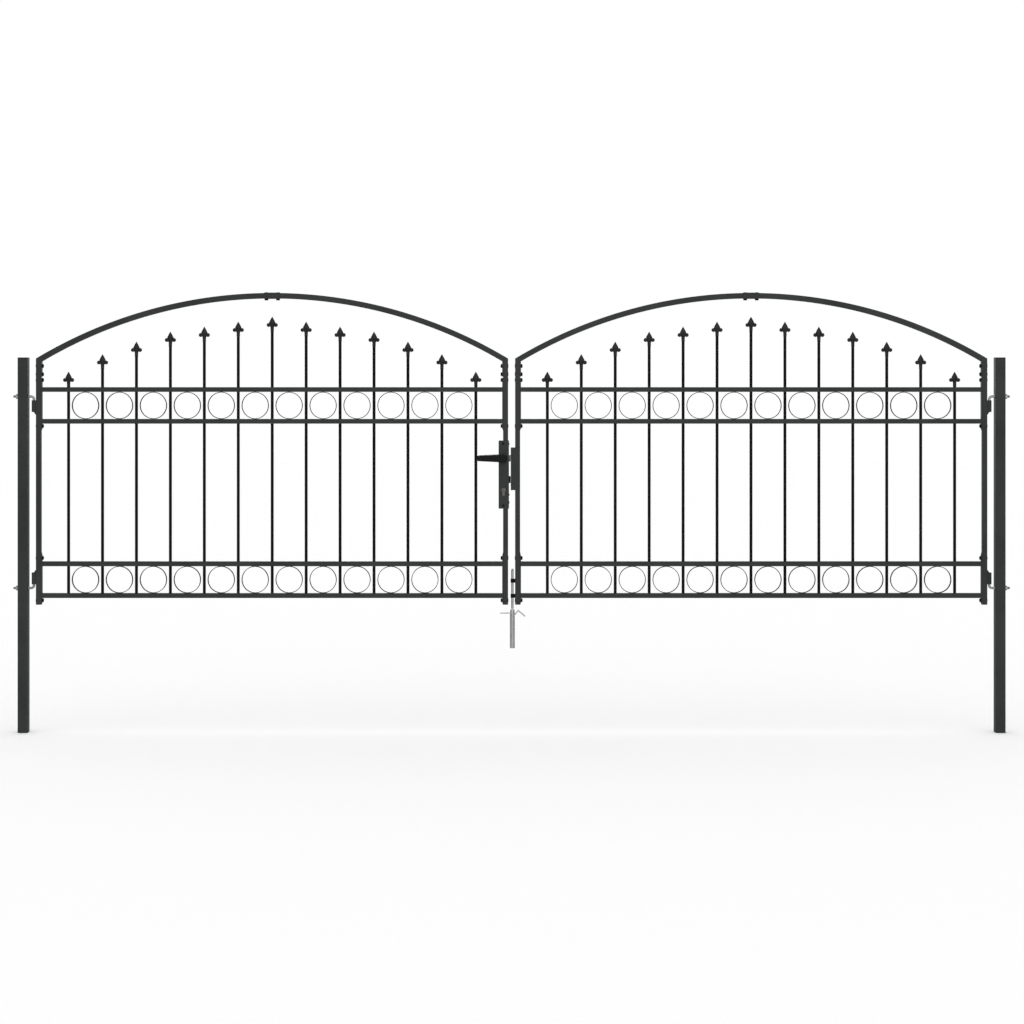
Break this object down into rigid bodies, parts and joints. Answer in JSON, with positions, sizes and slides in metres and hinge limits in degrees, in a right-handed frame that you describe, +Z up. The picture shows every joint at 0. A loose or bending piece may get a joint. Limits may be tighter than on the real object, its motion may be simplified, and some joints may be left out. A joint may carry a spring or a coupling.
{
  "type": "double-leaf garden gate",
  "caption": "Double-leaf arched steel garden gate with spear-topped bars and ring bands, hung on its posts, with a lever lock, a drop bolt and its ground socket.",
  "frame": {"origin": "at ground level, midway between the two posts, in the mid plane of the closed leaves", "axes": "+X along the closed gate towards the leaf with the drop bolt, +Y away from the lock's cover, +Z up"},
  "size_m": [3.984, 0.0993, 1.7586],
  "materials": {
    "frame_paint": "fine-textured powder coat, anthracite",
    "black_paint": "satin black powder coat",
    "zinc": "bright zinc plate",
    "cap_plastic": "matt black",
    "nickel": "dark satin nickel"
  },
  "bodies": {
    "posts": {"left_post": "frame_paint", "right_post": "frame_paint", "post_caps": "cap_plastic", "left_hinge_hooks": "zinc", "right_hinge_hooks": "zinc", "hook_washers": "zinc", "hook_nuts": "zinc", "ground_socket": "zinc", "ground_anchors": "zinc"},
    "left_leaf": {"left_hinge_stile": "frame_paint", "left_arch_hinge_half": "frame_paint", "left_arch_meeting_half": "frame_paint", "left_arch_sleeve": "frame_paint", "left_top_rail": "frame_paint", "left_upper_rail": "frame_paint", "left_lower_rail": "frame_paint", "left_bottom_rail": "frame_paint", "left_bars": "black_paint", "left_spear_heads": "black_paint", "left_rings": "black_paint", "left_stile_plates": "frame_paint", "left_frame_bolts": "black_paint", "left_frame_nuts": "black_paint", "left_hinge_eyes": "frame_paint", "left_meeting_stile_upper": "frame_paint", "left_meeting_stile_lower": "frame_paint", "lock_housing": "frame_paint", "lock_cover": "frame_paint", "lock_forend": "frame_paint", "lock_cylinder": "nickel", "lock_screws": "black_paint", "latch_spring": "zinc"},
    "right_leaf": {"right_hinge_stile": "frame_paint", "right_arch_hinge_half": "frame_paint", "right_arch_meeting_half": "frame_paint", "right_arch_sleeve": "frame_paint", "right_top_rail": "frame_paint", "right_upper_rail": "frame_paint", "right_lower_rail": "frame_paint", "right_bottom_rail": "frame_paint", "right_bars": "black_paint", "right_spear_heads": "black_paint", "right_rings": "black_paint", "right_stile_plates": "frame_paint", "right_frame_bolts": "black_paint", "right_frame_nuts": "black_paint", "right_hinge_eyes": "frame_paint", "right_meeting_stile": "frame_paint", "strike_box": "frame_paint", "drop_bolt_keepers": "black_paint"},
    "lever_set": {"front_lever": "black_paint", "back_lever": "black_paint", "lock_spindle": "zinc", "lock_follower": "zinc"},
    "latch": {"latch_bolt": "zinc"},
    "key": {"key_plug": "nickel"},
    "bolt": {"dead_bolt": "black_paint"},
    "drop_rod": {"drop_bolt": "zinc"}
  },
  "joints": [
    {"name": "left_leaf_swing", "type": "hinge", "parent": "posts", "child": "left_leaf", "pos_m": [-1.9105, 0, 0], "axis": [0, 0, 1], "range_deg": [-100, 100]},
    {"name": "right_leaf_swing", "type": "hinge", "parent": "posts", "child": "right_leaf", "pos_m": [1.9105, 0, 0], "axis": [0, 0, -1], "range_deg": [-100, 100]},
    {"name": "lever_turn", "type": "hinge", "parent": "left_leaf", "child": "lever_set", "pos_m": [-0.032, 0, 0.605], "axis": [0, -1, 0], "range_deg": [0, 40], "stiffness_Nm_per_rad": 0.8, "springref_deg": -34.38},
    {"name": "latch_slide", "type": "slide", "parent": "left_leaf", "child": "latch", "axis": [-1, 0, 0], "range_m": [0, 0.009], "deforming": ["latch_spring"]},
    {"name": "key_turn", "type": "hinge", "parent": "left_leaf", "child": "key", "pos_m": [-0.032, 0, 0.479], "axis": [0, 1, 0], "range_deg": [-117.2, 243.2]},
    {"name": "dead_bolt_slide", "type": "slide", "parent": "left_leaf", "child": "bolt", "axis": [1, 0, 0], "range_m": [-0.0065, 0.0135]},
    {"name": "drop_bolt_slide", "type": "slide", "parent": "right_leaf", "child": "drop_rod", "axis": [0, 0, 1], "range_m": [-0.025, 0.03]}
  ],
  "couplings": [
    {"joint": "latch_slide", "follows": "lever_turn", "m_per_rad": 0.012892},
    {"joint": "key_turn", "follows": "dead_bolt_slide", "rad_per_m": 314.16}
  ]
}
